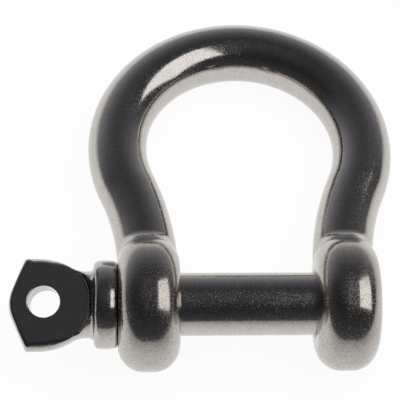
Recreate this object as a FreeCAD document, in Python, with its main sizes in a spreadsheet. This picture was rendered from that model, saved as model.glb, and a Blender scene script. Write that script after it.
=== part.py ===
import FreeCAD, Part

# Bow shackle with a screw pin, M10 size, in polished stainless steel.
# Frame: the origin is on the pin's axis, midway between the eyes. +X runs along the pin towards the
# tapped eye, +Y from the pin to the crown of the bow, and +Z is normal to the plane of the bow.

import math
import os
import Sketcher

# Driving dimensions, in millimetres and degrees.
DRIVING = {
    # the bow: a round bar bent to a bow, with an eye at each end
    "bar_dia": 9.7,
    "inside_width": 21.6,
    "inside_length": 40.6,
    "crown_width": 31.2,
    "leg_straight": 6.0,
    "eye_width": 9.85,
    "eye_wall": 5.6,
    "eye_round": 4.4,
    "eye_blend": 1.2,
    "bore_edge": 0.4,
    # the pin's shank and threaded end
    "pin_dia": 10.0,
    "pin_clearance": 0.1,
    "thread_depth": 0.92,
    "thread_clearance": 0.1,
    "thread_setback": 1.2,
    "tip_proud": 0.35,
    "tip_chamfer": 0.8,
    # the pin's collar and neck
    "collar_dia": 14.1,
    "collar_width": 3.75,
    "collar_round": 1.0,
    "seat_round": 1.5,
    "neck_dia": 10.6,
    "neck_length": 1.25,
    "neck_root": 0.3,
    # the pin's paddle head
    "head_length": 17.3,
    "paddle_width": 14.6,
    "paddle_thick": 3.3,
    "paddle_edge": 0.4,
    "nose_round": 6.0,
    "nose_rake": 23.0,
    "corner_round": 0.8,
    "shoulder_round": 9.7,
    "neck_sweep": 4.3,
    "flat_round": 4.5,
    "flat_gap": 0.55,
    "key_hole_dia": 5.1,
    "key_hole_setback": 5.5,
    "key_hole_edge": 0.15,
    # how far past the plane of the bow the pin turns before it comes tight
    "tight_angle": 16.5,
}

# Sizes worked out from the driving ones.
DERIVED = {
    "bar_radius": "bar_dia / 2",
    "pin_radius": "pin_dia / 2",
    "eye_inner": "inside_width / 2",
    "eye_outer": "eye_inner + eye_width",
    "eye_centre": "eye_inner + eye_width / 2",
    "crown_radius": "(crown_width + bar_dia) / 2",
    "crown_height": "pin_radius + inside_length + bar_radius - crown_radius",
    "crown_above_leg": "crown_height - leg_straight",
    # the flare is the arc that touches both the straight leg and the crown's circle
    "flare_radius": "(eye_centre ^ 2 + crown_above_leg ^ 2 - crown_radius ^ 2)"
                    " / (2 * (crown_radius - eye_centre))",
    "plain_bore_radius": "pin_radius + pin_clearance",
    "tapped_bore_radius": "pin_radius + thread_clearance",
    "eye_radius": "plain_bore_radius + eye_wall",
    "eye_cheek_height": "eye_radius - eye_round",
    "thread_root_radius": "pin_radius - thread_depth",
    "thread_x": "eye_inner + thread_setback",
    "thread_root_x": "thread_x + thread_depth",
    "tip_x": "eye_outer + tip_proud",
    "tip_edge_x": "tip_x - tip_chamfer",
    "tip_face_radius": "thread_root_radius - tip_chamfer",
    "collar_radius": "collar_dia / 2",
    "collar_back_x": "eye_outer + collar_width",
    "neck_radius": "neck_dia / 2",
    "neck_x": "collar_back_x + neck_length",
    "paddle_radius": "paddle_width / 2",
    "nose_x": "eye_outer + head_length",
    "flat_height": "paddle_thick / 2",
    "flat_wall_x": "collar_back_x + flat_gap",
    "flat_end_x": "flat_wall_x + flat_round",
    "waste_x": "nose_x + paddle_thick",
    "waste_height": "paddle_radius + flat_round + paddle_thick",
    "key_hole_radius": "key_hole_dia / 2",
    "key_hole_x": "nose_x - key_hole_setback",
}

doc = FreeCAD.newDocument("bow_shackle")
sheet = doc.addObject("Spreadsheet::Sheet", "Sizes")
cells = [(alias, str(value)) for alias, value in DRIVING.items()]
cells += [(alias, "=" + formula) for alias, formula in DERIVED.items()]
for row, (alias, content) in enumerate(cells, start=1):
    sheet.set(f"A{row}", alias)
    sheet.set(f"B{row}", content)
    sheet.setAlias(f"B{row}", alias)
    doc.recompute()


def size(alias):
    """The value of a named cell."""
    return float(sheet.get(alias))


def vector(x, y):
    return FreeCAD.Vector(x, y, 0)


def new_body(label):
    body = doc.addObject("PartDesign::Body", label)
    body.Label = label
    return body


def new_sketch(body, name, role):
    """A sketch on one of the body's own origin planes."""
    sketch = body.newObject("Sketcher::SketchObject", name)
    plane = next(feature for feature in body.Origin.OriginFeatures if feature.Role == role)
    sketch.AttachmentSupport = [(plane, "")]
    sketch.MapMode = "FlatFace"
    return sketch


# Point positions in a sketch, and the elements every sketch has.
START, END, CENTRE = range(1, 4)
Y_AXIS, X_AXIS = range(-2, 0)
ORIGIN = (X_AXIS, START)

# Two lengths closer than this are the same.
SAME = 1e-4


def line(sketch, start, end):
    return sketch.addGeometry(Part.LineSegment(vector(*start), vector(*end)), False)


def arc(sketch, centre, radius, first, last):
    """An arc counter-clockwise from one angle to the other, in radians."""
    circle = Part.Circle(vector(*centre), FreeCAD.Vector(0, 0, 1), radius)
    return sketch.addGeometry(Part.ArcOfCircle(circle, first, last), False)


def tie(sketch, kind, *elements):
    """A geometric constraint."""
    return sketch.addConstraint(Sketcher.Constraint(kind, *elements))


def drive(sketch, kind, elements, alias):
    """A dimension that follows a cell of the sheet."""
    angle = kind == "Angle"
    value = math.radians(size(alias)) if angle else size(alias)
    index = sketch.addConstraint(Sketcher.Constraint(kind, *elements, value))
    unit = " * 1 deg" if angle else ""
    sketch.setExpression(f"Constraints[{index}]", f"Sizes.{alias}{unit}")


def circle_at(sketch, centre, radius_alias):
    """A circle that follows the sheet, centred where the caller ties it."""
    circle = Part.Circle(vector(*centre), FreeCAD.Vector(0, 0, 1), size(radius_alias))
    index = sketch.addGeometry(circle, False)
    drive(sketch, "Radius", (index,), radius_alias)
    return index


def through_pocket(body, name, sketch, reverse=False, both_ways=False):
    """A cut through everything, which must take material away."""
    before = body.Shape.Volume
    pocket = body.newObject("PartDesign::Pocket", name)
    pocket.Profile = sketch
    pocket.Type = "ThroughAll"
    pocket.Reversed = reverse
    if both_ways:
        pocket.SideType = "Symmetric"
    doc.recompute()
    if body.Shape.Volume >= before:
        raise RuntimeError(name + " cuts nothing")
    return pocket


def edges_where(feature, chosen):
    """The names of the feature's edges that the test accepts."""
    edges = enumerate(feature.Shape.Edges, start=1)
    return [f"Edge{number}" for number, edge in edges if not edge.Degenerated and chosen(edge)]


def dress(body, kind, name, base, edges, alias):
    """A fillet or chamfer on the named edges of a feature."""
    feature = body.newObject("PartDesign::" + kind, name)
    feature.Base = (base, edges)
    prop = "Radius" if kind == "Fillet" else "Size"
    setattr(feature, prop, size(alias))
    feature.setExpression(prop, f"Sizes.{alias}")
    doc.recompute()
    return feature


def is_circle_about_x(edge, radius):
    """True for a whole circle of that radius about the pin's axis."""
    if not isinstance(edge.Curve, Part.Circle):
        return False
    centre = edge.Curve.Center
    on_axis = math.hypot(centre.y, centre.z) < SAME
    return on_axis and abs(edge.Curve.Radius - radius) < SAME


# ---- the bow -------------------------------------------------------------------------------

def bow_path(body):
    """The bar's centre line: leg, flare, crown, flare, leg."""
    sketch = new_sketch(body, "BarPath", "XY_Plane")
    leg_x = size("eye_centre")
    leg_top = size("leg_straight")
    flare = size("flare_radius")
    crown = size("crown_radius")
    crown_y = size("crown_height")
    turn = math.acos((leg_x + flare) / (crown + flare))
    right_leg = line(sketch, (leg_x, 0), (leg_x, leg_top))
    right_flare = arc(sketch, (leg_x + flare, leg_top), flare, math.pi - turn, math.pi)
    top = arc(sketch, (0, crown_y), crown, -turn, math.pi + turn)
    left_flare = arc(sketch, (-leg_x - flare, leg_top), flare, 0, turn)
    left_leg = line(sketch, (-leg_x, leg_top), (-leg_x, 0))
    tie(sketch, "Tangent", right_leg, END, right_flare, END)
    tie(sketch, "Tangent", right_flare, START, top, START)
    tie(sketch, "Tangent", top, END, left_flare, END)
    tie(sketch, "Tangent", left_flare, START, left_leg, START)
    tie(sketch, "Vertical", right_leg)
    tie(sketch, "Vertical", left_leg)
    tie(sketch, "PointOnObject", right_leg, START, X_AXIS)
    tie(sketch, "PointOnObject", left_leg, END, X_AXIS)
    tie(sketch, "PointOnObject", top, CENTRE, Y_AXIS)
    tie(sketch, "Equal", right_leg, left_leg)
    tie(sketch, "Equal", right_flare, left_flare)
    drive(sketch, "DistanceX", (*ORIGIN, right_leg, START), "eye_centre")
    drive(sketch, "DistanceY", (right_leg, START, right_leg, END), "leg_straight")
    drive(sketch, "DistanceY", (*ORIGIN, top, CENTRE), "crown_height")
    drive(sketch, "Radius", (top,), "crown_radius")
    return sketch


def bow_bar(body):
    """The round bar, swept along its path."""
    path = bow_path(body)
    section = new_sketch(body, "BarSection", "XZ_Plane")
    circle = circle_at(section, (size("eye_centre"), 0), "bar_radius")
    tie(section, "PointOnObject", circle, CENTRE, X_AXIS)
    drive(section, "DistanceX", (*ORIGIN, circle, CENTRE), "eye_centre")
    doc.recompute()
    bar = body.newObject("PartDesign::AdditivePipe", "Bar")
    bar.Profile = section
    bar.Spine = (path, [f"Edge{number}" for number in range(1, 6)])
    doc.recompute()
    return bar


def eye_profile(sketch, side):
    """Half the section of one eye: flat cheeks and a rounded rim. It is drawn on the side away from
    the leg, so that the seam of the turned surface stays clear of the blend."""
    near = side * size("eye_inner")
    far = side * size("eye_outer")
    inset = side * size("eye_round")
    cheek_end = -size("eye_cheek_height")
    rim_level = -size("eye_radius")
    quarter = math.pi / 2
    left, right = (2 * quarter, 3 * quarter), (3 * quarter, 4 * quarter)
    near_angles, far_angles = (left, right) if side > 0 else (right, left)
    near_cheek = line(sketch, (near, 0), (near, cheek_end))
    near_round = arc(sketch, (near + inset, cheek_end), size("eye_round"), *near_angles)
    rim = line(sketch, (near + inset, rim_level), (far - inset, rim_level))
    far_round = arc(sketch, (far - inset, cheek_end), size("eye_round"), *far_angles)
    far_cheek = line(sketch, (far, cheek_end), (far, 0))
    axis_edge = line(sketch, (far, 0), (near, 0))
    first, last = (START, END) if side > 0 else (END, START)
    tie(sketch, "Tangent", near_cheek, END, near_round, first)
    tie(sketch, "Tangent", near_round, last, rim, START)
    tie(sketch, "Tangent", rim, END, far_round, first)
    tie(sketch, "Tangent", far_round, last, far_cheek, START)
    tie(sketch, "Coincident", far_cheek, END, axis_edge, START)
    tie(sketch, "Coincident", axis_edge, END, near_cheek, START)
    tie(sketch, "Vertical", near_cheek)
    tie(sketch, "Vertical", far_cheek)
    tie(sketch, "Horizontal", rim)
    tie(sketch, "PointOnObject", axis_edge, START, X_AXIS)
    tie(sketch, "PointOnObject", axis_edge, END, X_AXIS)
    drive(sketch, "DistanceY", (rim, START, *ORIGIN), "eye_radius")
    drive(sketch, "Radius", (near_round,), "eye_round")
    drive(sketch, "Radius", (far_round,), "eye_round")
    if side > 0:
        drive(sketch, "DistanceX", (*ORIGIN, axis_edge, END), "eye_inner")
        drive(sketch, "DistanceX", (*ORIGIN, axis_edge, START), "eye_outer")
    else:
        drive(sketch, "DistanceX", (axis_edge, END, *ORIGIN), "eye_inner")
        drive(sketch, "DistanceX", (axis_edge, START, *ORIGIN), "eye_outer")


def bow_eye(body, name, side):
    sketch = new_sketch(body, name + "Profile", "XY_Plane")
    eye_profile(sketch, side)
    doc.recompute()
    eye = body.newObject("PartDesign::Revolution", name)
    eye.Profile = sketch
    eye.ReferenceAxis = (sketch, ["H_Axis"])
    eye.Angle = 360
    doc.recompute()
    return eye


def make_bow():
    body = new_body("bow")
    bow_bar(body)
    bow_eye(body, "PlainEye", -1)
    eyes = bow_eye(body, "TappedEye", 1)

    # the crease where each leg runs out of the rim of its eye
    def is_crease(edge):
        simple = isinstance(edge.Curve, (Part.Line, Part.Circle))
        return not simple and size("eye_cheek_height") < edge.CenterOfMass.y < size("eye_radius")

    dress(body, "Fillet", "EyeBlend", eyes, edges_where(eyes, is_crease), "eye_blend")

    plain = new_sketch(body, "PlainBoreCircle", "YZ_Plane")
    tie(plain, "Coincident", circle_at(plain, (0, 0), "plain_bore_radius"), CENTRE, *ORIGIN)
    doc.recompute()
    through_pocket(body, "PlainBore", plain)

    tapped = new_sketch(body, "TappedBoreCircle", "YZ_Plane")
    tie(tapped, "Coincident", circle_at(tapped, (0, 0), "tapped_bore_radius"), CENTRE, *ORIGIN)
    doc.recompute()
    bored = through_pocket(body, "TappedBore", tapped, reverse=True)

    def is_bore_mouth(edge):
        radii = (size("plain_bore_radius"), size("tapped_bore_radius"))
        return any(is_circle_about_x(edge, radius) for radius in radii)

    dress(body, "Chamfer", "BoreMouths", bored, edges_where(bored, is_bore_mouth), "bore_edge")
    return body


# ---- the screw pin -------------------------------------------------------------------------

def pin_profile(body):
    """Half the pin's section along its axis, from the paddle's nose to the threaded tip."""
    sketch = new_sketch(body, "PinProfile", "XY_Plane")
    rake = math.radians(size("nose_rake"))
    paddle = size("paddle_radius")
    neck = size("neck_radius")
    nose_x = -size("nose_x")
    neck_x = -size("neck_x")
    back_x = -size("collar_back_x")
    seat_x = -size("eye_outer")

    # the nose, the raked end and the corner of the paddle
    nose_round = size("nose_round")
    nose_centre = nose_x + nose_round
    rake_start = (nose_centre - nose_round * math.cos(rake), nose_round * math.sin(rake))
    vertex_x = rake_start[0] + (paddle - rake_start[1]) * math.tan(rake)
    corner_round = size("corner_round")
    setback = corner_round * math.tan((math.pi / 2 - rake) / 2)
    rake_end = (vertex_x - setback * math.sin(rake), paddle - setback * math.cos(rake))
    corner_x = vertex_x + setback

    # the shoulder and the sweep that bring the paddle down to the neck
    shoulder_round = size("shoulder_round")
    sweep = size("neck_sweep")
    slope = math.acos(1 - (paddle - neck) / (shoulder_round + sweep))
    shoulder_x = neck_x - (shoulder_round + sweep) * math.sin(slope)

    collar = size("collar_radius")
    collar_round = size("collar_round")
    neck_root = size("neck_root")
    seat_round = size("seat_round")
    shank = size("pin_radius")
    root = size("thread_root_radius")
    thread_x = size("thread_x")
    root_x = size("thread_root_x")
    tip_x = size("tip_x")
    tip_edge_x = size("tip_edge_x")
    tip_y = size("tip_face_radius")

    quarter = math.pi / 2
    nose = arc(sketch, (nose_centre, 0), nose_round, math.pi - rake, math.pi)
    end = line(sketch, rake_start, rake_end)
    corner = arc(sketch, (corner_x, paddle - corner_round), corner_round,
                 quarter, math.pi - rake)
    side = line(sketch, (corner_x, paddle), (shoulder_x, paddle))
    shoulder = arc(sketch, (shoulder_x, paddle - shoulder_round), shoulder_round,
                   quarter - slope, quarter)
    flare = arc(sketch, (neck_x, neck + sweep), sweep, 3 * quarter - slope, 3 * quarter)
    neck_side = line(sketch, (neck_x, neck), (back_x - neck_root, neck))
    root_round = arc(sketch, (back_x - neck_root, neck + neck_root), neck_root,
                     3 * quarter, 4 * quarter)
    back = line(sketch, (back_x, neck + neck_root), (back_x, collar - collar_round))
    back_round = arc(sketch, (back_x + collar_round, collar - collar_round), collar_round,
                     quarter, 2 * quarter)
    rim = line(sketch, (back_x + collar_round, collar), (seat_x - seat_round, collar))
    front_round = arc(sketch, (seat_x - seat_round, collar - seat_round), seat_round, 0, quarter)
    seat = line(sketch, (seat_x, collar - seat_round), (seat_x, shank))
    shank_side = line(sketch, (seat_x, shank), (thread_x, shank))
    run_out = line(sketch, (thread_x, shank), (root_x, root))
    thread_root = line(sketch, (root_x, root), (tip_edge_x, root))
    tip_bevel = line(sketch, (tip_edge_x, root), (tip_x, tip_y))
    tip = line(sketch, (tip_x, tip_y), (tip_x, 0))
    axis_edge = line(sketch, (tip_x, 0), (nose_x, 0))

    tangents = [
        (nose, START, end, START), (end, END, corner, END), (corner, START, side, START),
        (side, END, shoulder, END), (shoulder, START, flare, START),
        (flare, END, neck_side, START), (neck_side, END, root_round, START),
        (root_round, END, back, START), (back, END, back_round, END),
        (back_round, START, rim, START), (rim, END, front_round, END),
        (front_round, START, seat, START),
    ]
    for joint in tangents:
        tie(sketch, "Tangent", *joint)
    chain = [seat, shank_side, run_out, thread_root, tip_bevel, tip, axis_edge]
    for before, after in zip(chain, chain[1:]):
        tie(sketch, "Coincident", before, END, after, START)
    tie(sketch, "Coincident", axis_edge, END, nose, END)
    for element in (side, neck_side, rim, shank_side, thread_root):
        tie(sketch, "Horizontal", element)
    for element in (back, seat, tip):
        tie(sketch, "Vertical", element)
    for element, point in ((axis_edge, START), (axis_edge, END), (nose, CENTRE)):
        tie(sketch, "PointOnObject", element, point, X_AXIS)

    # stations left of the origin, then those right of it
    for element, point, alias in (
        (axis_edge, END, "nose_x"), (neck_side, START, "neck_x"),
        (back, START, "collar_back_x"), (seat, START, "eye_outer"),
    ):
        drive(sketch, "DistanceX", (element, point, *ORIGIN), alias)
    for element, point, alias in (
        (shank_side, END, "thread_x"), (run_out, END, "thread_root_x"),
        (thread_root, END, "tip_edge_x"), (tip, START, "tip_x"),
    ):
        drive(sketch, "DistanceX", (*ORIGIN, element, point), alias)
    # radii about the pin's axis
    for element, point, alias in (
        (side, START, "paddle_radius"), (neck_side, START, "neck_radius"),
        (rim, START, "collar_radius"), (shank_side, START, "pin_radius"),
        (thread_root, START, "thread_root_radius"), (tip_bevel, END, "tip_face_radius"),
    ):
        drive(sketch, "DistanceY", (*ORIGIN, element, point), alias)
    # rounds of the outline
    for element, alias in (
        (nose, "nose_round"), (corner, "corner_round"), (shoulder, "shoulder_round"),
        (flare, "neck_sweep"), (root_round, "neck_root"), (back_round, "collar_round"),
        (front_round, "seat_round"),
    ):
        drive(sketch, "Radius", (element,), alias)
    drive(sketch, "Angle", (nose,), "nose_rake")
    return sketch


def flat_profile(sketch, side):
    """The waste above or below the paddle, with the round that runs it out at the neck. It reaches
    past the blank by one paddle's thickness."""
    wall_x = -size("flat_wall_x")
    end_x = -size("flat_end_x")
    outer_x = -size("waste_x")
    radius = size("flat_round")
    flat = side * size("flat_height")
    centre = flat + side * radius
    top_z = side * size("waste_height")
    outer = line(sketch, (outer_x, top_z), (outer_x, flat))
    floor = line(sketch, (outer_x, flat), (end_x, flat))
    angles = (3 * math.pi / 2, 2 * math.pi) if side > 0 else (0, math.pi / 2)
    floor_end, wall_end = (START, END) if side > 0 else (END, START)
    run_out = arc(sketch, (end_x, centre), radius, *angles)
    wall = line(sketch, (wall_x, centre), (wall_x, top_z))
    top = line(sketch, (wall_x, top_z), (outer_x, top_z))
    tie(sketch, "Coincident", outer, END, floor, START)
    tie(sketch, "Tangent", floor, END, run_out, floor_end)
    tie(sketch, "Tangent", run_out, wall_end, wall, START)
    tie(sketch, "Coincident", wall, END, top, START)
    tie(sketch, "Coincident", top, END, outer, START)
    for element in (floor, top):
        tie(sketch, "Horizontal", element)
    for element in (outer, wall):
        tie(sketch, "Vertical", element)
    drive(sketch, "DistanceX", (wall, START, *ORIGIN), "flat_wall_x")
    drive(sketch, "DistanceX", (outer, START, *ORIGIN), "waste_x")
    drive(sketch, "Radius", (run_out,), "flat_round")
    for element, alias in ((floor, "flat_height"), (top, "waste_height")):
        ends = (*ORIGIN, element, START) if side > 0 else (element, START, *ORIGIN)
        drive(sketch, "DistanceY", ends, alias)


def make_pin():
    body = new_body("screw_pin")
    profile = pin_profile(body)
    doc.recompute()
    turned = body.newObject("PartDesign::Revolution", "TurnedBlank")
    turned.Profile = profile
    turned.ReferenceAxis = (profile, ["H_Axis"])
    turned.Angle = 360
    doc.recompute()

    # the two flats that make the head a paddle
    flats = new_sketch(body, "PaddleFlats", "XZ_Plane")
    for side in (1, -1):
        flat_profile(flats, side)
    doc.recompute()
    pressed = through_pocket(body, "PaddlePress", flats, both_ways=True)

    flat_height = size("flat_height")

    def is_flat_edge(edge):
        box = edge.BoundBox
        level = box.ZLength < SAME and abs(abs(box.ZMin) - flat_height) < SAME
        return level and box.XMax < -size("collar_back_x")

    rounded = dress(body, "Fillet", "PaddleEdges", pressed,
                    edges_where(pressed, is_flat_edge), "paddle_edge")

    hole = new_sketch(body, "KeyHoleCircle", "XY_Plane")
    circle = circle_at(hole, (-size("key_hole_x"), 0), "key_hole_radius")
    tie(hole, "PointOnObject", circle, CENTRE, X_AXIS)
    drive(hole, "DistanceX", (circle, CENTRE, *ORIGIN), "key_hole_x")
    doc.recompute()
    pierced = through_pocket(body, "KeyHole", hole, both_ways=True)

    def is_key_hole_mouth(edge):
        whole = isinstance(edge.Curve, Part.Circle)
        return whole and abs(edge.Curve.Radius - size("key_hole_radius")) < SAME

    dress(body, "Chamfer", "KeyHoleMouths", pierced,
          edges_where(pierced, is_key_hole_mouth), "key_hole_edge")

    # the pin as it lies when it is screwed home
    body.setExpression("Placement.Rotation.Angle", "Sizes.tight_angle * 1 deg")
    body.Placement = FreeCAD.Placement(
        FreeCAD.Vector(0, 0, 0), FreeCAD.Rotation(FreeCAD.Vector(1, 0, 0), size("tight_angle")))
    doc.recompute()
    return body


def check_document():
    """Stop at any feature that failed and any sketch that is not fully settled."""
    for item in doc.Objects:
        failed = {"Invalid", "Error"} & set(item.State)
        if failed:
            raise RuntimeError(f"{item.Label} is {', '.join(sorted(failed))}")
        if item.isDerivedFrom("Sketcher::SketchObject") and item.solve() != 0:
            raise RuntimeError(f"{item.Label} does not solve")


subparts = [make_bow(), make_pin()]
doc.recompute()
check_document()
os.makedirs("parts", exist_ok=True)
for subpart in subparts:
    shape = subpart.Shape
    if shape.isNull() or not shape.isValid() or len(shape.Solids) != 1:
        raise RuntimeError(subpart.Label + " is not one sound solid")
    shape.exportStep(f"parts/{subpart.Label}.step")
    box = shape.BoundBox
    print(f"{subpart.Label}: {shape.Volume:.1f} mm3,",
          f"x {box.XMin:.2f} to {box.XMax:.2f}, y {box.YMin:.2f} to {box.YMax:.2f},",
          f"z {box.ZMin:.2f} to {box.ZMax:.2f}")
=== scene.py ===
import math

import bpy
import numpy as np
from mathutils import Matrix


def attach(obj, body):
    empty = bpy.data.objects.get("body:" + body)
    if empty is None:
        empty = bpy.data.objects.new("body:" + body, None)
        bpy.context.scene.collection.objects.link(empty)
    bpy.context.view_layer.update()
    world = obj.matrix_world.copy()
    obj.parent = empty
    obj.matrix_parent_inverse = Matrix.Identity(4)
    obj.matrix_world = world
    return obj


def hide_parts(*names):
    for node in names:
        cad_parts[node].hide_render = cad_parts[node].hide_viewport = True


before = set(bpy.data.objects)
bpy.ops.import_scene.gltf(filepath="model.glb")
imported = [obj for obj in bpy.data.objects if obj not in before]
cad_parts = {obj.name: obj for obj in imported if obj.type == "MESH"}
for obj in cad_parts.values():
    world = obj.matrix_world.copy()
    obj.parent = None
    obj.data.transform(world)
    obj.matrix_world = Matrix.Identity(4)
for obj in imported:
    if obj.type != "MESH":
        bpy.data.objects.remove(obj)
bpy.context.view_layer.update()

# A bow shackle with a screw pin, in polished stainless steel, lying on a pale floor.
#
# Each body's shape is a distance field, written from the sizes below. The CAD node's mesh is
# remeshed evenly, its points are settled on the field, and the field gives the normals.
# Lengths in the shape code are millimetres, in the CAD frame. Meshes are in metres.

MM = 0.001

# ---- sizes, in millimetres -----------------------------------------------------------------------

# the bow: a bent bar with an eye at each end
BAR_RADIUS = 4.85
EYE_INNER = 10.8
EYE_WIDTH = 9.85
EYE_CENTRE = EYE_INNER + EYE_WIDTH / 2
EYE_OUTER = EYE_INNER + EYE_WIDTH
EYE_RADIUS = 10.7
EYE_ROUND = 4.2
CHEEK_HEIGHT = EYE_RADIUS - EYE_ROUND
LEG_TOP = 6.0
CROWN_RADIUS = 20.45
CROWN_HEIGHT = 30.0
CROWN_ABOVE_LEG = CROWN_HEIGHT - LEG_TOP
# the flare is the arc that touches both the straight leg and the crown's circle
FLARE_RADIUS = ((EYE_CENTRE ** 2 + CROWN_ABOVE_LEG ** 2 - CROWN_RADIUS ** 2)
                / (2 * (CROWN_RADIUS - EYE_CENTRE)))
TURN = math.acos((EYE_CENTRE + FLARE_RADIUS) / (CROWN_RADIUS + FLARE_RADIUS))
EYE_BLEND = 1.4
BORE_RADIUS = 5.1
BORE_ROUND = 0.4

# the pin's shank and threaded end
PIN_RADIUS = 5.0
THREAD_DEPTH = 0.92
THREAD_ROOT = PIN_RADIUS - THREAD_DEPTH
THREAD_X = 12.0
THREAD_EDGE = 0.25
TIP_X = 21.0
TIP_CHAMFER = 0.8
TIP_EDGE = 0.2

# the pin's collar, a slight barrel, and its neck
COLLAR_RADIUS = 7.05
COLLAR_WIDTH = 3.75
COLLAR_BACK_X = -(EYE_OUTER + COLLAR_WIDTH)
COLLAR_ROUND = 0.9
SEAT_ROUND = 0.7
SEAT_CORNER = 0.12
BARREL_ROUND = 5.6
BARREL_SLOPE = math.radians(11)
BARREL_BACK = 1.8
NECK_RADIUS = 5.3
NECK_LENGTH = 1.25
NECK_ROOT = 0.7

# the pin's paddle head
HEAD_LENGTH = 17.2
NOSE_X = -(EYE_OUTER + HEAD_LENGTH)
PADDLE_RADIUS = 7.5
PADDLE_EDGE = 0.3
NOSE_ROUND = 6.0
NOSE_RAKE = math.radians(23)
CORNER_ROUND = 0.8
SHOULDER_ROUND = 9.7
NECK_SWEEP = 4.3
TIGHT_ANGLE = math.radians(16.5)

# the two flats of the paddle, which end in a rounded tongue and a steep wall near the collar
FLAT_HEIGHT = 1.65
FLAT_ROUND = 0.5
FLAT_FOOT_X = COLLAR_BACK_X - 0.6
FLAT_WALL = math.radians(82)
# how fast the wall bows away from the collar, by the fourth power of the distance sideways
FLAT_TONGUE = 0.005
# the flat's outline starts out here, and its wall ends this much higher: both clear of the pin
BEYOND_NOSE_X = -60
ABOVE_ALL = 40

# the bevel along the paddle's sides, as (x, depth): only a trace is left at the nose and neck
BEVEL = ((NOSE_X + 1.5, 0.08), (NOSE_X + 4, 0.55), (FLAT_FOOT_X - 6, 0.55),
         (FLAT_FOOT_X - 3, 0.08))
BEVEL_SIDEWAYS = 0.8
BEVEL_UPWARDS = 0.6

KEY_HOLE_RADIUS = 2.55
KEY_HOLE_X = NOSE_X + 5.8
KEY_HOLE_Y = 0.2
# how far the hole's axis goes along x for each millimetre of height
KEY_HOLE_LEAN = -0.15
KEY_HOLE_EDGE = 0.15

# sizes of the even meshes
BOW_VOXEL = 0.25
PIN_VOXEL = 0.16

TINY = 1e-9


# ---- fields: distance to the surface, negative inside -------------------------------------------

def soft_union(a, b, k):
    """Union with a fillet of radius k; k may be an array."""
    return np.maximum(k, np.minimum(a, b)) - np.hypot(np.maximum(k - a, 0), np.maximum(k - b, 0))


def soft_cut(a, b, k):
    """Intersection with a rounded edge of radius k."""
    return np.minimum(-k, np.maximum(a, b)) + np.hypot(np.maximum(a + k, 0), np.maximum(b + k, 0))


def bar_nearest(x, y):
    """The nearest point of the bar's centre line, for points with x above zero."""
    leg = np.stack([np.full_like(x, EYE_CENTRE), np.clip(y, 0, LEG_TOP)])
    centre = EYE_CENTRE + FLARE_RADIUS
    angle = np.clip(np.arctan2(y - LEG_TOP, centre - x), 0, TURN)
    flare = np.stack([centre - FLARE_RADIUS * np.cos(angle),
                      LEG_TOP + FLARE_RADIUS * np.sin(angle)])
    angle = np.clip(np.arctan2(y - CROWN_HEIGHT, x), -TURN, math.pi / 2)
    crown = np.stack([CROWN_RADIUS * np.cos(angle),
                      CROWN_HEIGHT + CROWN_RADIUS * np.sin(angle)])
    options = np.stack([leg, flare, crown])
    away = np.hypot(options[:, 0] - x, options[:, 1] - y)
    chosen = np.argmin(away, axis=0)
    column = np.arange(len(x))
    return options[chosen, 0, column], options[chosen, 1, column]


# the blend shrinks from its full radius to a small share of it over this span of facing
BLEND_SPAN = 0.5
BLEND_LEAST = 0.02


def bow_field(points):
    x, y, z = np.abs(points[:, 0]), points[:, 1], points[:, 2]
    near_x, near_y = bar_nearest(x, y)
    out_x, out_y = x - near_x, y - near_y
    reach = np.sqrt(out_x ** 2 + out_y ** 2 + z ** 2) + TINY
    bar = reach - BAR_RADIUS
    radial = np.hypot(y, z) + TINY
    over_rim = np.maximum(radial - CHEEK_HEIGHT, 0)
    across = x - EYE_CENTRE
    flat = EYE_WIDTH / 2 - EYE_ROUND
    across = np.sign(across) * np.maximum(np.abs(across) - flat, 0)
    girth = np.hypot(across, over_rim) + TINY
    eye = girth - EYE_ROUND
    # the blend dies out where the bar's side runs flush into the eye's cheek
    facing = (out_x * across + (out_y * y + z * z) / radial * over_rim) / (reach * girth)
    blend = EYE_BLEND * np.clip((1 - facing) / BLEND_SPAN, BLEND_LEAST, 1)
    body = soft_union(bar, eye, blend)
    return soft_cut(body, BORE_RADIUS - radial, BORE_ROUND)


def rounded_chain(corners):
    """Lines and arcs along a path of (x, y, corner radius)."""
    chain = []
    start = np.array(corners[0][:2], float)
    for before, here, after in zip(corners, corners[1:], corners[2:]):
        point, radius = np.array(here[:2], float), here[2]
        back = np.array(before[:2], float) - point
        ahead = np.array(after[:2], float) - point
        back /= np.linalg.norm(back)
        ahead /= np.linalg.norm(ahead)
        half = math.acos(np.clip(back @ ahead, -1, 1)) / 2
        enter = point + back * radius / math.tan(half)
        leave = point + ahead * radius / math.tan(half)
        middle = (back + ahead) / np.linalg.norm(back + ahead)
        centre = point + middle * radius / math.sin(half)
        chain.append(("line", start, enter))
        chain.append(("arc", centre, radius, -middle, math.pi / 2 - half))
        start = leave
    chain.append(("line", start, np.array(corners[-1][:2], float)))
    return chain


# keeps a length from being zero where it is divided by
NO_LENGTH = 1e-12
# lets an arc's very end count as part of the arc
ARC_SLACK = 1e-9


def chain_distance(chain, x, y):
    """Unsigned distance to a rounded chain."""
    best = np.full(len(x), np.inf)
    for kind, *data in chain:
        if kind == "line":
            start, end = data
            along = end - start
            square = max(along @ along, NO_LENGTH)
            share = ((x - start[0]) * along[0] + (y - start[1]) * along[1]) / square
            share = np.clip(share, 0, 1)
            away = np.hypot(x - start[0] - share * along[0], y - start[1] - share * along[1])
        else:
            centre, radius, middle, spread = data
            dx, dy = x - centre[0], y - centre[1]
            reach = np.hypot(dx, dy) + NO_LENGTH
            inside = (dx * middle[0] + dy * middle[1]) / reach >= math.cos(spread) - ARC_SLACK
            away = np.where(inside, np.abs(reach - radius), np.inf)
        best = np.minimum(best, away)
    return best


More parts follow.
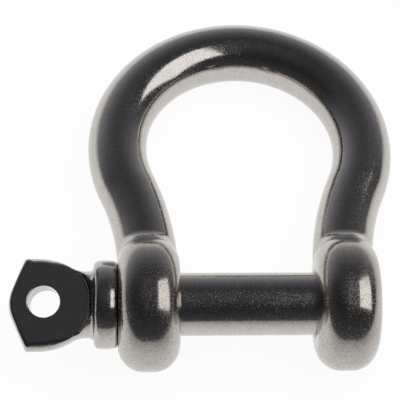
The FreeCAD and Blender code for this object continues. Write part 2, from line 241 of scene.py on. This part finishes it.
def pin_corners():
    """The turned profile of the pin, from its nose to its tip, with corner radii."""
    neck_x = COLLAR_BACK_X - NECK_LENGTH
    vertex_r = NOSE_ROUND * math.tan(NOSE_RAKE / 2)
    vertex_x = NOSE_X + (PADDLE_RADIUS - vertex_r) * math.tan(NOSE_RAKE)
    rake = math.acos(1 - (PADDLE_RADIUS - NECK_RADIUS) / (SHOULDER_ROUND + NECK_SWEEP))
    low_x = neck_x - NECK_SWEEP * math.tan(rake / 2)
    high_x = low_x - (PADDLE_RADIUS - NECK_RADIUS) / math.tan(rake)
    lean = math.tan(BARREL_SLOPE)
    # where the barrel's two slopes would meet, above its round
    ridge_r = COLLAR_RADIUS + BARREL_ROUND * (1 / math.cos(BARREL_SLOPE) - 1)
    return [
        (NOSE_X, -1, 0),
        (NOSE_X, vertex_r, NOSE_ROUND),
        (vertex_x, PADDLE_RADIUS, CORNER_ROUND),
        (high_x, PADDLE_RADIUS, SHOULDER_ROUND),
        (low_x, NECK_RADIUS, NECK_SWEEP),
        (COLLAR_BACK_X, NECK_RADIUS, NECK_ROOT),
        (COLLAR_BACK_X, ridge_r - BARREL_BACK * lean, COLLAR_ROUND),
        (COLLAR_BACK_X + BARREL_BACK, ridge_r, BARREL_ROUND),
        (-EYE_OUTER, ridge_r - (COLLAR_WIDTH - BARREL_BACK) * lean, SEAT_ROUND),
        (-EYE_OUTER, PIN_RADIUS, SEAT_CORNER),
        (THREAD_X, PIN_RADIUS, THREAD_EDGE),
        (THREAD_X + THREAD_DEPTH, THREAD_ROOT, THREAD_EDGE),
        (TIP_X - TIP_CHAMFER, THREAD_ROOT, TIP_EDGE),
        (TIP_X, THREAD_ROOT - TIP_CHAMFER, TIP_EDGE),
        (TIP_X, -1, 0),
    ]


def chain_points(chain, step=0.05):
    """The chain as a polyline, to tell inside from outside."""
    path = []
    for kind, *data in chain:
        if kind == "line":
            path += [data[0], data[1]]
        else:
            centre, radius, middle, spread = data
            base = math.atan2(middle[1], middle[0])
            count = max(3, int(radius * spread * 2 / step))
            angles = [base + spread * (2 * i / count - 1) for i in range(count + 1)]
            arc = [centre + radius * np.array([math.cos(a), math.sin(a)]) for a in angles]
            if path and np.linalg.norm(arc[0] - path[-1]) > np.linalg.norm(arc[-1] - path[-1]):
                arc.reverse()
            path += arc
    return np.array(path)


PIN_CHAIN = rounded_chain(pin_corners())
PIN_PATH = chain_points(PIN_CHAIN)
FLAT_CHAIN = rounded_chain([(BEYOND_NOSE_X, FLAT_HEIGHT, 0),
                            (FLAT_FOOT_X, FLAT_HEIGHT, FLAT_ROUND),
                            (FLAT_FOOT_X + ABOVE_ALL / math.tan(FLAT_WALL),
                             FLAT_HEIGHT + ABOVE_ALL, 0)])
FLAT_PATH = chain_points(FLAT_CHAIN)


def pin_field(points):
    x = points[:, 0]
    turn_y = points[:, 1] * math.cos(TIGHT_ANGLE) + points[:, 2] * math.sin(TIGHT_ANGLE)
    turn_z = points[:, 2] * math.cos(TIGHT_ANGLE) - points[:, 1] * math.sin(TIGHT_ANGLE)
    radial = np.hypot(turn_y, turn_z)
    height = np.interp(x, PIN_PATH[:, 0], PIN_PATH[:, 1])
    inside = (radial < height) & (x > NOSE_X) & (x < TIP_X)
    turned = chain_distance(PIN_CHAIN, x, radial) * np.where(inside, -1, 1)
    # the wall bows away from the collar towards the sides, which gives the flat its tongue
    aside = turn_y ** 4
    along = x + FLAT_TONGUE * aside / (1 + aside / NECK_RADIUS ** 4)
    up = np.abs(turn_z)
    waste = up > np.interp(along, FLAT_PATH[:, 0], FLAT_PATH[:, 1])
    flat = chain_distance(FLAT_CHAIN, along, up) * np.where(waste, 1, -1)
    head = soft_cut(turned, flat, PADDLE_EDGE)
    depth = np.interp(x, *zip(*BEVEL))
    bevel = BEVEL_SIDEWAYS * turned + BEVEL_UPWARDS * flat + depth
    head = soft_cut(head, bevel, PADDLE_EDGE)
    hole = KEY_HOLE_RADIUS - np.hypot(x - KEY_HOLE_X - KEY_HOLE_LEAN * turn_z,
                                      turn_y - KEY_HOLE_Y)
    return soft_cut(head, hole, KEY_HOLE_EDGE)


# ---- meshes ----------------------------------------------------------------------------------

GRADIENT_STEP = 1e-3
LEAST_STEEPNESS = 0.05
LONGEST_MOVE = 0.3
# a mesh is settled on its field, evened out in turn with that, and settled once more
FIRST_SETTLING = 3
EVENING_ROUNDS = 6
EVENING_SHARE = 0.5
LAST_SETTLING = 2


def gradient(field, points):
    slopes = []
    for axis in range(3):
        shift = np.zeros(3)
        shift[axis] = GRADIENT_STEP
        slopes.append((field(points + shift) - field(points - shift)) / (2 * GRADIENT_STEP))
    return np.stack(slopes, axis=1)


def onto_surface(field, points, rounds):
    """Moves points down the field's slope to where it is zero."""
    for _ in range(rounds):
        slope = gradient(field, points)
        steep = np.maximum((slope ** 2).sum(1), LEAST_STEEPNESS)
        move = np.clip(field(points) / steep, -LONGEST_MOVE, LONGEST_MOVE)
        points = points - slope * move[:, None]
    return points


def even_out(points, edges, share):
    """Moves each point towards the mean of its neighbours."""
    total = np.zeros_like(points)
    for axis in range(3):
        total[:, axis] = (np.bincount(edges[:, 0], points[edges[:, 1], axis], len(points))
                          + np.bincount(edges[:, 1], points[edges[:, 0], axis], len(points)))
    count = np.bincount(edges.ravel(), minlength=len(points))[:, None]
    return points + share * (total / np.maximum(count, 1) - points)


def finished(mesh, field, name):
    """Settles a mesh on its field and gives it the field's own normals."""
    points = np.zeros(len(mesh.vertices) * 3)
    mesh.vertices.foreach_get("co", points)
    points = points.reshape(-1, 3) / MM
    edges = np.zeros(len(mesh.edges) * 2, int)
    mesh.edges.foreach_get("vertices", edges)
    edges = edges.reshape(-1, 2)
    points = onto_surface(field, points, FIRST_SETTLING)
    for _ in range(EVENING_ROUNDS):
        points = onto_surface(field, even_out(points, edges, EVENING_SHARE), 1)
    points = onto_surface(field, points, LAST_SETTLING)
    slope = gradient(field, points)
    normals = slope / np.maximum(np.linalg.norm(slope, axis=1), TINY)[:, None]
    mesh.vertices.foreach_set("co", (points * MM).ravel())
    mesh.update()
    mesh.polygons.foreach_set("use_smooth", [True] * len(mesh.polygons))
    mesh.normals_split_custom_set_from_vertices(normals)
    mesh.name = name


def remeshed(node, voxel, name, field):
    """A new object from a CAD node: evenly meshed, then settled on its field."""
    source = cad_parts[node].data
    blank = bpy.data.objects.new(name, source.copy())
    blank.data.materials.clear()
    bpy.context.scene.collection.objects.link(blank)
    cut = blank.modifiers.new("even", "REMESH")
    cut.mode = "VOXEL"
    cut.voxel_size = voxel * MM
    graph = bpy.context.evaluated_depsgraph_get()
    mesh = bpy.data.meshes.new_from_object(blank.evaluated_get(graph))
    blank.modifiers.clear()
    blank.data = mesh
    finished(mesh, field, name)
    return blank


bow = remeshed("bow", BOW_VOXEL, "bow_body", bow_field)
pin = remeshed("screw_pin", PIN_VOXEL, "pin_body", pin_field)


# ---- threads -----------------------------------------------------------------------------------

PITCH = 1.5
TURNED = 144
STEP = 0.05
# the flat on a crest and in a root, as a share of half a pitch
THREAD_FLAT = 0.2
# how many pitches the pin's thread takes to reach its full depth
THREAD_RUN_IN = 1.2
THREAD_GAP = 0.02
MINOR_GAP = 0.12
MOUTH = 0.3
MOUTH_EDGE = 0.05
SLEEVE_STEP = 0.5


def thread_wave(phase):
    """A thread with flanks about 52 degrees apart over one pitch: 1 on the crest, 0 in the
    root, both a little flat."""
    ridge = np.abs((phase % 1) - 0.5) * 2
    return np.clip((1 - ridge - THREAD_FLAT) / (1 - 2 * THREAD_FLAT), 0, 1)


def threaded_sleeve(name, low_x, high_x, radius_at, closing_radius, outward):
    """A tube whose radius follows a helix, closed at both ends by a small step in radius."""
    stations = np.arange(low_x, high_x + STEP / 2, STEP)
    stations = np.concatenate([stations[:1], stations, stations[-1:]])
    angles = np.arange(TURNED) * 2 * math.pi / TURNED
    x, angle = np.meshgrid(stations, angles, indexing="ij")
    radius = radius_at(x, angle)
    radius[0] = radius[-1] = closing_radius
    corners = np.stack([x, radius * np.cos(angle), radius * np.sin(angle)], axis=-1) * MM
    rows, columns = x.shape
    index = np.arange(rows * columns).reshape(rows, columns)
    here, above = index[:-1], index[1:]
    faces = np.stack([here, above, np.roll(above, -1, 1), np.roll(here, -1, 1)], axis=-1)
    faces = faces.reshape(-1, 4)
    if outward:
        faces = faces[:, ::-1]
    mesh = bpy.data.meshes.new(name)
    mesh.from_pydata(corners.reshape(-1, 3).tolist(), [], faces.tolist())
    mesh.polygons.foreach_set("use_smooth", [True] * len(mesh.polygons))
    mesh.update()
    sleeve = bpy.data.objects.new(name, mesh)
    bpy.context.scene.collection.objects.link(sleeve)
    return sleeve


def external_radius(x, angle):
    wave = thread_wave((x - PITCH * angle / (2 * math.pi)) / PITCH)
    depth = np.clip((x - THREAD_X) / (THREAD_RUN_IN * PITCH), 0, 1) * THREAD_DEPTH
    crest = np.minimum(PIN_RADIUS, THREAD_ROOT - TIP_CHAMFER + TIP_X - x) - THREAD_GAP
    return np.maximum(crest - depth * (1 - wave), np.minimum(THREAD_ROOT - THREAD_GAP, crest))


def internal_radius(x, angle):
    wave = thread_wave((x - PITCH * angle / (2 * math.pi)) / PITCH)
    mouth = np.minimum(x - EYE_INNER, EYE_OUTER - x) - MOUTH
    minor = np.maximum(THREAD_ROOT + MINOR_GAP, BORE_RADIUS + MOUTH_EDGE - mouth)
    return np.minimum(BORE_RADIUS + THREAD_GAP, minor + THREAD_DEPTH * wave)


pin_thread = threaded_sleeve("pin_thread", THREAD_X, TIP_X - STEP, external_radius,
                             THREAD_ROOT - SLEEVE_STEP, True)
eye_thread = threaded_sleeve("eye_thread", EYE_INNER + MOUTH, EYE_OUTER - MOUTH, internal_radius,
                             BORE_RADIUS + SLEEVE_STEP, False)


# ---- materials ---------------------------------------------------------------------------------

class Graph:
    """Short calls for building a node tree."""

    def __init__(self, tree):
        self.nodes, self.links = tree.nodes, tree.links

    def feed(self, socket, value):
        """Links a socket to another one, or sets its value."""
        if isinstance(value, bpy.types.NodeSocket):
            self.links.new(value, socket)
        else:
            socket.default_value = value

    def node(self, kind, outputs=0, settings=(), **inputs):
        """A node of a kind: inputs are named, or i0, i1 and so on; returns one output."""
        made = self.nodes.new("ShaderNode" + kind)
        for key, value in dict(settings).items():
            setattr(made, key, value)
        for key, value in inputs.items():
            numbered = key[0] == "i" and key[1:].isdigit()
            self.feed(made.inputs[int(key[1:]) if numbered else key.replace("_", " ")], value)
        return made.outputs[outputs]

    def math(self, operation, *values, clamp=False):
        return self.node("Math", settings={"operation": operation, "use_clamp": clamp},
                         **{f"i{i}": value for i, value in enumerate(values)})

    def between(self, value, low, high, low_out=0.0, high_out=1.0):
        """A smooth step of value, from low_out at low to high_out at high."""
        return self.node("MapRange", settings={"interpolation_type": "SMOOTHSTEP"},
                         **{"Value": value, "From_Min": low, "From_Max": high,
                            "To_Min": low_out, "To_Max": high_out})

    def noise(self, place, size, detail=2.0, roughness=0.5):
        """Noise with features of about the given size in metres."""
        return self.node("TexNoise", Vector=place, Scale=1 / size, Detail=detail,
                         Roughness=roughness)

    def mix(self, share, first, second):
        made = self.nodes.new("ShaderNodeMix")
        made.data_type = "RGBA"
        for index, value in ((0, share), (6, first), (7, second)):
            self.feed(made.inputs[index], value)
        return made.outputs[2]

    def split(self, kind, value):
        """The three parts of a vector or a colour."""
        made = self.nodes.new("ShaderNodeSeparate" + kind)
        self.links.new(value, made.inputs[0])
        return made.outputs

    def dot(self, vector, aim):
        return self.node("VectorMath", outputs=1, settings={"operation": "DOT_PRODUCT"},
                         i0=vector, i1=aim)

    def ramp(self, share, stops, interpolation="B_SPLINE"):
        """A grey or coloured curve through (position, value) stops."""
        made = self.nodes.new("ShaderNodeValToRGB")
        made.color_ramp.interpolation = interpolation
        elements = made.color_ramp.elements
        while len(elements) < len(stops):
            elements.new(0.5)
        for element, (position, value) in zip(elements, stops):
            element.position = position
            element.color = (*value, 1) if isinstance(value, tuple) else (value, value, value, 1)
        self.links.new(share, made.inputs[0])
        return made.outputs[0]


# sizes of the steel's texture, in metres
WAVE_SIZE = 0.005
PATCH_SIZE = 0.006
STAIN_SIZE = 0.003
GRAIN_SIZE = 0.00026
FROST_SIZE = 0.00018
PIT_SPACING = 0.00042
# heights of its relief, in metres
WAVE_HEIGHT = 0.000022
GRAIN_HEIGHT = 0.0000045
PIT_DEPTH = 0.000014
# a pit's radius as a share of the spacing: the least, and how much more it may be
PIT_RADIUS = 0.10
PIT_SPREAD = 0.16
# towards the pin's end the shackle is darker, warmer and rougher: nothing at the first y, all at
# the second, in metres
PIN_END_FROM = 0.016
PIN_END_TO = 0.002
# the pressed paddle has this share of the turned parts' frost; the change takes this length, in mm
PRESSED_SHARE = 0.2
PRESSED_LENGTH = 3


def steel_pits(graph, place, patches, share):
    """Round pits, from 0 at the rim to 1 in the middle, denser in some patches."""
    cell = graph.nodes.new("ShaderNodeTexVoronoi")
    cell.inputs["Scale"].default_value = 1 / PIT_SPACING
    graph.links.new(place, cell.inputs["Vector"])
    pick, spread, _ = graph.split("Color", cell.outputs["Color"])
    chosen = graph.math("LESS_THAN", pick, graph.between(patches, 0.35, 0.68, 0.12, share))
    radius = graph.math("MULTIPLY_ADD", spread, PIT_SPREAD, PIT_RADIUS)
    depth = graph.math("DIVIDE", cell.outputs["Distance"], radius)
    depth = graph.math("SUBTRACT", 1.0, depth, clamp=True)
    return graph.math("MULTIPLY", depth, chosen)


def steel(name, metal, worn, pit_share, frosting, pressed_x, pin_end_shift):
    """Tumble-polished steel: soft waves, fine grain, casting pits, stains and a patchy frost."""
    material = bpy.data.materials.new(name)
    material.use_nodes = True
    graph = Graph(material.node_tree)
    shader = graph.nodes["Principled BSDF"]
    place = graph.node("TexCoord", outputs=3)
    along, across, _ = graph.split("XYZ", place)

    waves = graph.noise(place, WAVE_SIZE, detail=1.0)
    grain = graph.noise(place, GRAIN_SIZE)
    frost = graph.noise(place, FROST_SIZE, roughness=0.6)
    patches = graph.noise(place, PATCH_SIZE, detail=3.0)
    stains = graph.noise(place, STAIN_SIZE, detail=5.0, roughness=0.62)
    pits = steel_pits(graph, place, patches, pit_share)

    relief = graph.node("Bump", Strength=1.0, Distance=WAVE_HEIGHT, Height=waves)
    relief = graph.node("Bump", Strength=1.0, Distance=GRAIN_HEIGHT, Height=grain, Normal=relief)
    relief = graph.node("Bump", settings={"invert": True}, Strength=1.0, Distance=PIT_DEPTH,
                        Height=pits, Normal=relief)
    graph.links.new(relief, shader.inputs["Normal"])

    # stains are the darkest of blotches, pits and mottled grain, and a darker, warmer shift towards
    # the pin's end adds to them
    stained = graph.between(stains, 0.52, 0.78, 0.0, 0.55)
    stained = graph.math("MAXIMUM", stained, graph.math("MULTIPLY", pits, 0.5))
    stained = graph.math("MAXIMUM", stained, graph.between(grain, 0.48, 0.68, 0.0, 0.8))
    # darker, warmer and rougher towards the pin's end, unevenly by the stains
    pin_end = graph.between(across, PIN_END_FROM, PIN_END_TO, 0.0, pin_end_shift)
    pin_end = graph.math("MULTIPLY", pin_end, graph.between(stains, 0.36, 0.56, 0.55, 1.0))
    stained = graph.math("ADD", stained, pin_end, clamp=True)
    graph.links.new(graph.mix(stained, (*metal, 1), (*worn, 1)), shader.inputs["Base Color"])

    # frost is fine dots of roughness over a low haze
    haze = graph.between(patches, 0.3, 0.7, 0.07, 0.12)
    haze = graph.math("MULTIPLY_ADD", stained, 0.10, haze)
    rubbed = graph.between(patches, 0.36, 0.62, 0.75 * frosting, frosting)
    turned = graph.between(along, pressed_x * MM, (pressed_x + PRESSED_LENGTH) * MM,
                           PRESSED_SHARE, 1.0)
    rubbed = graph.math("MULTIPLY", rubbed, turned)
    rubbed = graph.math("MULTIPLY_ADD", pin_end, 0.55, rubbed)
    dots = graph.math("MULTIPLY", graph.between(frost, 0.46, 0.66), rubbed)
    graph.links.new(graph.math("MAXIMUM", dots, haze), shader.inputs["Roughness"])
    shader.inputs["Metallic"].default_value = 1
    return material


# the bow has no pressed part, so its frost starts beyond the end of the head
bow_steel = steel("bow_polished_steel", metal=(0.545, 0.520, 0.495), worn=(0.42, 0.375, 0.33),
                  pit_share=0.4, frosting=0.37, pressed_x=-40, pin_end_shift=0.34)
pin_steel = steel("pin_polished_steel", metal=(0.562, 0.541, 0.517), worn=(0.42, 0.38, 0.34),
                  pit_share=0.3, frosting=0.36, pressed_x=-27, pin_end_shift=0.12)
for piece, body, slot, material in ((bow, "bow", "bow_steel", bow_steel),
                                    (eye_thread, "bow", "bow_steel", bow_steel),
                                    (pin, "pin", "pin_steel", pin_steel),
                                    (pin_thread, "pin", "pin_steel", pin_steel)):
    piece.data.materials.append(material)
    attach(piece, body)
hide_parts("bow")
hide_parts("screw_pin")


# ---- stage ---------------------------------------------------------------------------------------

# the floor touches the rims of the eyes and the underside of the crown
FLOOR_SLOPE = math.asin((EYE_RADIUS - BAR_RADIUS) / (CROWN_HEIGHT + CROWN_RADIUS))
FLOOR_NORMAL = np.array([0, -math.sin(FLOOR_SLOPE), math.cos(FLOOR_SLOPE)])
FLOOR_HALF = 12.0
PAINTED_POOL_CENTRE = (-0.007, 0.019, -0.0085)
PAINTED_POOL_REACH = 0.4
# painted pool of light: the floor's colour fades by its distance from the pool's centre, as a share
# of the reach
PAINTED_POOL_FALL = ((0.0, 1.0), (0.13, 1.0), (0.17, 0.94), (0.22, 0.84), (0.31, 0.74), (0.5, 0.64),
              (1.0, 0.52))
# and painted shade: darker with the distance in front of the eyes, again as a share of the reach
FRONT_Y = -0.011
PAINTED_FRONT_SHADE = ((0.0, 1.0), (0.01, 0.96), (0.028, 0.88), (0.05, 0.80), (0.08, 0.72), (0.145, 0.62),
              (0.27, 0.55), (0.6, 0.50), (1.0, 0.48))
FALL_BLEND = 0.06
# the share of the floor that glows with its colour, painted pool of light and shade included; the
# rest is lit and keeps the shadow
GLOW_SHARE = 0.95


def floor_material():
    material = bpy.data.materials.new("floor_white_painted_falloff")
    material.use_nodes = True
    graph = Graph(material.node_tree)
    graph.nodes.clear()
    place = graph.node("NewGeometry")
    away = graph.node("VectorMath", outputs=1, settings={"operation": "DISTANCE"},
                      i0=place, i1=PAINTED_POOL_CENTRE)
    # painted pool of light on the floor, fading outwards from its centre
    painted_light = graph.ramp(graph.math("DIVIDE", away, PAINTED_POOL_REACH), PAINTED_POOL_FALL)
    # painted shade in front of the eyes, softly joined with the painted pool of light
    ahead = graph.math("SUBTRACT", FRONT_Y, graph.split("XYZ", place)[1])
    front = graph.ramp(graph.math("DIVIDE", ahead, PAINTED_POOL_REACH, clamp=True), PAINTED_FRONT_SHADE)
    painted_light = graph.math("SMOOTH_MIN", painted_light, front, FALL_BLEND)
    lit = graph.node("BsdfDiffuse", Color=painted_light)
    # the glow shows the painted pool of light and shade to the camera and in reflections
    glow = graph.node("Emission", Color=painted_light, Strength=1.0)
    path = graph.nodes.new("ShaderNodeLightPath").outputs
    seen = graph.math("MAXIMUM", path["Is Camera Ray"], path["Is Glossy Ray"])
    seen = graph.math("MAXIMUM", seen, path["Is Transmission Ray"])
    both = graph.node("MixShader", i0=graph.math("MULTIPLY", seen, GLOW_SHARE), i1=lit, i2=glow)
    surface = graph.nodes.new("ShaderNodeOutputMaterial")
    graph.links.new(both, surface.inputs["Surface"])
    return material


def floor_plane():
    ahead = np.array([0, math.cos(FLOOR_SLOPE), math.sin(FLOOR_SLOPE)])
    side = np.array([1.0, 0, 0])
    centre = FLOOR_NORMAL * -EYE_RADIUS * MM
    corners = [tuple(centre + FLOOR_HALF * (a * side + b * ahead))
               for a, b in ((-1, -1), (1, -1), (1, 1), (-1, 1))]
    mesh = bpy.data.meshes.new("floor")
    mesh.from_pydata(corners, [], [(0, 1, 2, 3)])
    mesh.materials.append(floor_material())
    made = bpy.data.objects.new("floor", mesh)
    bpy.context.scene.collection.objects.link(made)


# the room above the floor: brightness by the sine of the height, on the far side and the near
FAR_SIDE = ((-0.12, 0.62), (0.0, 0.52), (0.06, 0.45), (0.13, 0.38), (0.22, 0.33), (0.30, 0.285),
            (0.38, 0.25), (0.46, 0.21), (0.57, 0.155), (0.71, 0.108), (0.82, 0.075),
            (0.91, 0.048), (1.0, 0.060))
NEAR_SIDE = ((-0.12, 0.16), (-0.07, 0.085), (0.0, 0.066), (0.08, 0.060), (0.22, 0.053),
             (0.40, 0.045), (0.57, 0.032), (0.71, 0.029), (0.82, 0.032), (0.91, 0.044),
             (1.0, 0.060))
# both sides start at this sine, a little below level
SKY_LOW = -0.12
SKY_TINT = (0.95, 0.97, 1.08)
# the level direction of the far side, and how squarely a view faces it to see only that side
FAR_AIM = (-0.087, 0.996, 0.0)
FAR_WHOLE = 0.95
LEAST_LEVEL = 0.05


def sky_stops(side):
    """A side's brightness curve as tinted stops from 0 to 1."""
    return [((at - SKY_LOW) / (1 - SKY_LOW), tuple(value * tint for tint in SKY_TINT))
            for at, value in side]


def studio_world():
    world = bpy.data.worlds.new("studio")
    bpy.context.scene.world = world
    world.use_nodes = True
    graph = Graph(world.node_tree)
    toward = graph.node("TexCoord")
    rise = graph.split("XYZ", toward)[2]
    level = graph.math("MULTIPLY", rise, rise)
    level = graph.math("SQRT", graph.math("SUBTRACT", 1.0, level, clamp=True))
    facing = graph.math("DIVIDE", graph.dot(toward, FAR_AIM),
                        graph.math("MAXIMUM", level, LEAST_LEVEL))
    share = graph.between(facing, 0.0, FAR_WHOLE)
    place = graph.math("DIVIDE", graph.math("SUBTRACT", rise, SKY_LOW), 1 - SKY_LOW)
    far = graph.ramp(place, sky_stops(FAR_SIDE), "LINEAR")
    near = graph.ramp(place, sky_stops(NEAR_SIDE), "LINEAR")
    graph.links.new(graph.mix(share, near, far), graph.nodes["Background"].inputs["Color"])


def placed(axes, point):
    """The matrix of an object with these axes, as columns, at this point."""
    pose = np.eye(4)
    pose[:3, :3] = axes
    pose[:3, 3] = point
    return Matrix(pose.tolist())


def area_lamp(name, centre, across, up, radiance, in_reflections):
    """A rectangular lamp from its centre and half sides, shining towards the object's side."""
    centre, across, up = (np.array(v, float) for v in (centre, across, up))
    if np.cross(across, up) @ centre < 0:
        up = -up
    facing = np.cross(across, up)
    width = np.linalg.norm(across) * 2
    height = np.linalg.norm(up) * 2
    data = bpy.data.lights.new(name, "AREA")
    data.shape = "RECTANGLE"
    data.size = width
    data.size_y = height
    data.energy = radiance * math.pi * width * height
    lamp = bpy.data.objects.new(name, data)
    bpy.context.scene.collection.objects.link(lamp)
    sides = np.stack([across, up, facing], axis=1)
    lamp.matrix_world = placed(sides / np.linalg.norm(sides, axis=0), centre)
    lamp.visible_glossy = in_reflections
    lamp.visible_camera = False


floor_plane()
studio_world()
# the softbox's place and size were fitted to the highlights on the eyes and the crown
area_lamp("softbox", centre=(0.2436, -0.034, 0.308), across=(0.1352, 0.0504, -0.1059),
          up=(-0.0088, -0.1545, -0.0849), radiance=1.38, in_reflections=True)
area_lamp("fill", centre=(0, 0, 1.2), across=(1.2, 0, 0), up=(0, 1.2, 0), radiance=1.6,
          in_reflections=False)


# ---- camera --------------------------------------------------------------------------------------

# the view was fitted to the object's outline in the photo
# angles in radians; the distance and the shift of the view, in millimetres, are from the origin
TILT = 0.588
SWING = 0.0605
ROLL = 0.0362
DISTANCE = 318.0156
SHIFT_RIGHT = -7.5394
SHIFT_UP = 16.5441
LENS = 180
SENSOR = 36
FAR_CLIP = 100


def camera_axes():
    cos, sin = math.cos, math.sin
    swing = np.array([[cos(SWING), 0, sin(SWING)], [0, 1, 0], [-sin(SWING), 0, cos(SWING)]])
    tilt = np.array([[1, 0, 0], [0, cos(TILT), sin(TILT)], [0, -sin(TILT), cos(TILT)]])
    roll = np.array([[cos(ROLL), -sin(ROLL), 0], [sin(ROLL), cos(ROLL), 0], [0, 0, 1]])
    return (roll @ tilt @ swing).T


def studio_camera():
    data = bpy.data.cameras.new("camera")
    data.sensor_width = SENSOR
    data.lens = LENS
    data.clip_end = FAR_CLIP
    camera = bpy.data.objects.new("camera", data)
    bpy.context.scene.collection.objects.link(camera)
    axes = camera_axes()
    camera.matrix_world = placed(axes, axes @ np.array([SHIFT_RIGHT, SHIFT_UP, DISTANCE]) * MM)
    bpy.context.scene.camera = camera


studio_camera()

bpy.context.scene.view_settings.view_transform = "Standard"
